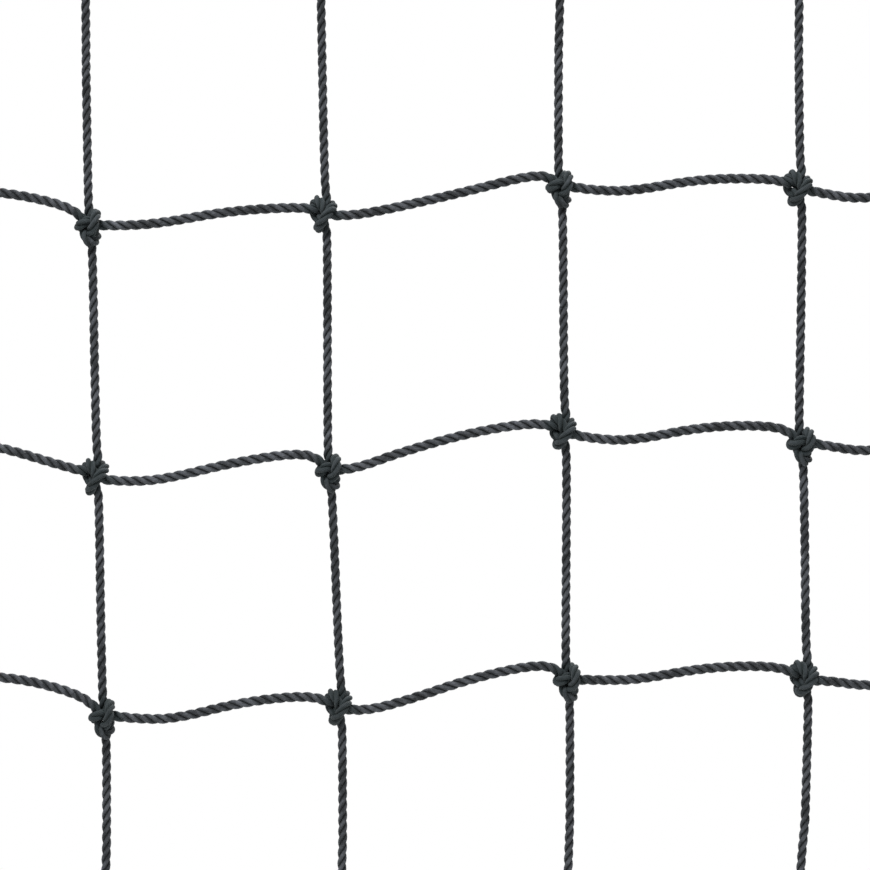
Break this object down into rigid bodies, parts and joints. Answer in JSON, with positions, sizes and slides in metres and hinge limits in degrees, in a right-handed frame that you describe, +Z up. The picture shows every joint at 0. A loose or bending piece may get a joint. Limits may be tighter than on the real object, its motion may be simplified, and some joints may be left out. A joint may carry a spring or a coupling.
{
  "type": "cargo climbing net",
  "caption": "Knotted rope climbing net of large square meshes, with a laid border rope and a thimble eye at each corner.",
  "frame": {"origin": "middle of the head rope's centre line", "axes": "+X along the head rope to the right, +Y to the back, +Z up; the net hangs in the XZ plane"},
  "size_m": [1.3658, 0.0412, 1.1908],
  "materials": {
    "mesh_twine": "three-strand laid synthetic twine, charcoal with a green cast, weathered",
    "border_rope": "three-strand laid synthetic rope, charcoal",
    "whipping_twine": "tightly wound waxed twine, near black",
    "thimble": "galvanised steel, dull"
  },
  "bodies": {
    "head_band": {"corner_rope_top_left": "border_rope", "corner_rope_top_right": "border_rope", "head_rope": "border_rope", "mesh_twine_1_head": "mesh_twine", "mesh_twine_2_head": "mesh_twine", "mesh_twine_3_head": "mesh_twine", "mesh_twine_4_head": "mesh_twine", "seizing_top_left": "whipping_twine", "seizing_top_right": "whipping_twine", "thimble_top_left": "thimble", "thimble_top_right": "thimble", "whippings_head": "whipping_twine"},
    "row_1_band": {"left_side_rope_row_1": "border_rope", "mesh_twine_1_row_1": "mesh_twine", "mesh_twine_2_row_1": "mesh_twine", "mesh_twine_3_row_1": "mesh_twine", "mesh_twine_4_row_1": "mesh_twine", "mesh_twine_5_row_1": "mesh_twine", "right_side_rope_row_1": "border_rope", "whippings_row_1": "whipping_twine"},
    "row_2_band": {"left_side_rope_row_2": "border_rope", "mesh_twine_2_row_2": "mesh_twine", "mesh_twine_3_row_2": "mesh_twine", "mesh_twine_4_row_2": "mesh_twine", "mesh_twine_5_row_2": "mesh_twine", "mesh_twine_6_row_2": "mesh_twine", "right_side_rope_row_2": "border_rope", "whippings_row_2": "whipping_twine"},
    "row_3_band": {"left_side_rope_row_3": "border_rope", "mesh_twine_3_row_3": "mesh_twine", "mesh_twine_4_row_3": "mesh_twine", "mesh_twine_5_row_3": "mesh_twine", "mesh_twine_6_row_3": "mesh_twine", "mesh_twine_7_row_3": "mesh_twine", "right_side_rope_row_3": "border_rope", "whippings_row_3": "whipping_twine"},
    "foot_band": {"corner_rope_bottom_left": "border_rope", "corner_rope_bottom_right": "border_rope", "foot_rope": "border_rope", "mesh_twine_4_foot": "mesh_twine", "mesh_twine_5_foot": "mesh_twine", "mesh_twine_6_foot": "mesh_twine", "mesh_twine_7_foot": "mesh_twine", "seizing_bottom_left": "whipping_twine", "seizing_bottom_right": "whipping_twine", "thimble_bottom_left": "thimble", "thimble_bottom_right": "thimble", "whippings_foot": "whipping_twine"}
  },
  "joints": [
    {"name": "head_fold", "type": "hinge", "parent": "head_band", "child": "row_1_band", "pos_m": [0, 0, -0.092], "axis": [1, 0, 0], "range_deg": [-60, 60]},
    {"name": "row_1_fold", "type": "hinge", "parent": "row_1_band", "child": "row_2_band", "pos_m": [0, 0, -0.339], "axis": [0.9992, 0, 0.04], "range_deg": [-60, 60]},
    {"name": "row_2_fold", "type": "hinge", "parent": "row_2_band", "child": "row_3_band", "pos_m": [0, 0, -0.589], "axis": [0.9992, 0, 0.04], "range_deg": [-60, 60]},
    {"name": "row_3_fold", "type": "hinge", "parent": "row_3_band", "child": "foot_band", "pos_m": [0, 0, -0.839], "axis": [0.9992, 0, 0.04], "range_deg": [-60, 60]}
  ]
}
